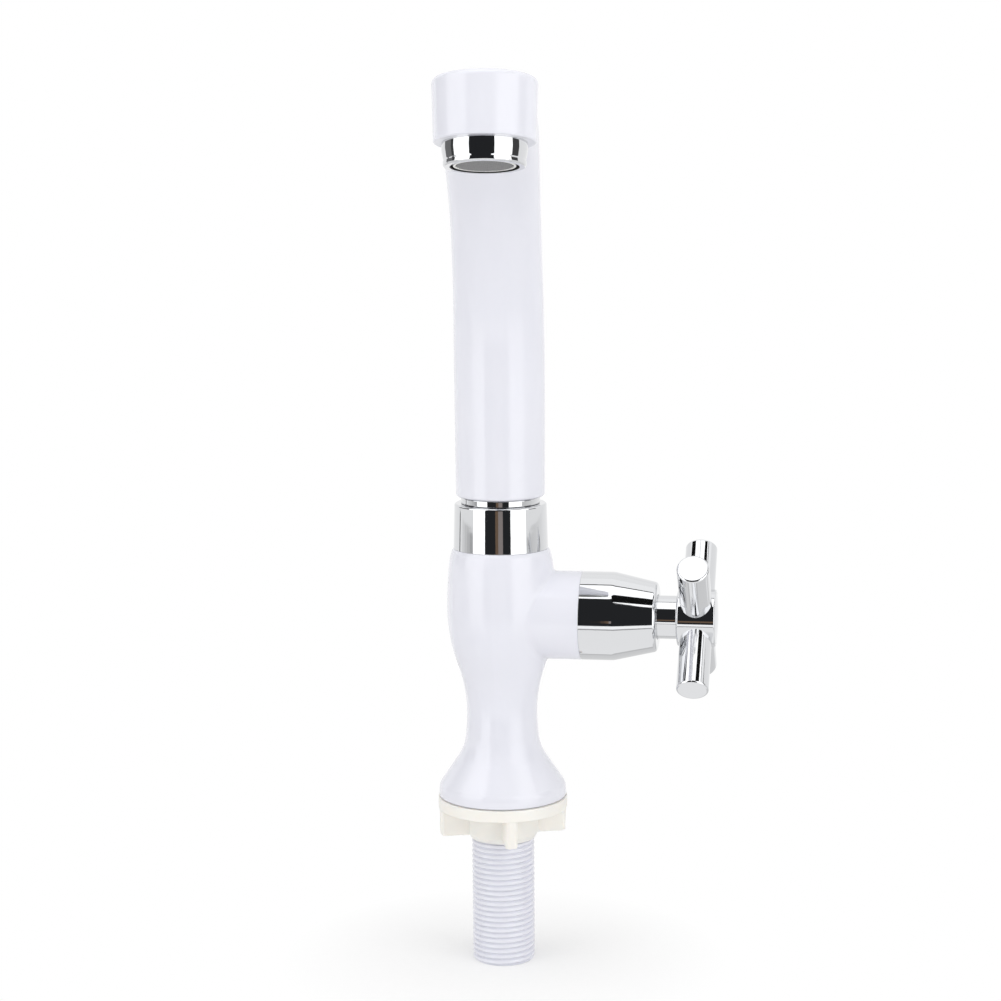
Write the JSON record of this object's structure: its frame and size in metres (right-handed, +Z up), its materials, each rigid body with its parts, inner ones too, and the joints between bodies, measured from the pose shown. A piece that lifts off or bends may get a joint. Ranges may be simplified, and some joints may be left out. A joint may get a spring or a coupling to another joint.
{
  "type": "pillar tap",
  "caption": "Cold water pillar tap with a swivelling white swan-neck spout on a chromed collar, a side valve with a chromed cross handle, and a threaded shank with a wing backnut.",
  "frame": {"origin": "centre of the base on the worktop, at the gasket's underside", "axes": "+Z up the column, +X along the valve towards the handle, and the spout points to -Y when its swing is zero; in the picture it is swung about 6.5 degrees to the right of that"},
  "size_m": [0.0935, 0.1201, 0.2932],
  "materials": {
    "white_abs": "gloss",
    "cream_nylon": "satin",
    "chrome_plate": "polished",
    "black_rubber": "matt",
    "pale_rubber": "matt",
    "grey_rubber": "matt",
    "turned_brass": "machined",
    "alumina": "lapped",
    "white_acetal": "satin",
    "grey_insert": "satin",
    "stainless_steel": "satin"
  },
  "bodies": {
    "root": {"pedestal_body": "white_abs", "base_gasket": "pale_rubber", "collar": "chrome_plate", "glide_ring": "white_acetal", "cartridge_body": "turned_brass", "cartridge_seal": "black_rubber", "seat_seal": "grey_rubber", "fixed_disc": "alumina", "bonnet": "chrome_plate"},
    "backnut": {"backnut": "cream_nylon"},
    "spout": {"spout_tube": "white_abs", "spout_spigot": "chrome_plate", "spigot_seal_1": "black_rubber", "spigot_seal_2": "black_rubber", "swivel_clip": "stainless_steel", "aerator_housing": "chrome_plate", "aerator_washer": "black_rubber", "aerator_core": "white_acetal", "aerator_mesh": "stainless_steel"},
    "handle": {"cross_handle": "chrome_plate", "handle_insert": "grey_insert", "handle_screw": "stainless_steel", "index_cap": "chrome_plate", "spindle": "turned_brass", "spindle_seal_1": "black_rubber", "spindle_seal_2": "black_rubber", "spindle_clip": "stainless_steel", "friction_washer": "white_acetal", "drive_disc": "alumina"}
  },
  "joints": [
    {"name": "spout_swivel", "type": "hinge", "parent": "root", "child": "spout", "pos_m": [0, 0, 0], "axis": [0, 0, 1], "continuous": true},
    {"name": "handle_turn", "type": "hinge", "parent": "root", "child": "handle", "pos_m": [0.0272, 0, 0.06175], "axis": [1, 0, 0], "range_deg": [0, 90]},
    {"name": "backnut_travel", "type": "slide", "parent": "root", "child": "backnut", "axis": [0, 0, -1], "range_m": [0, 0.038]}
  ]
}
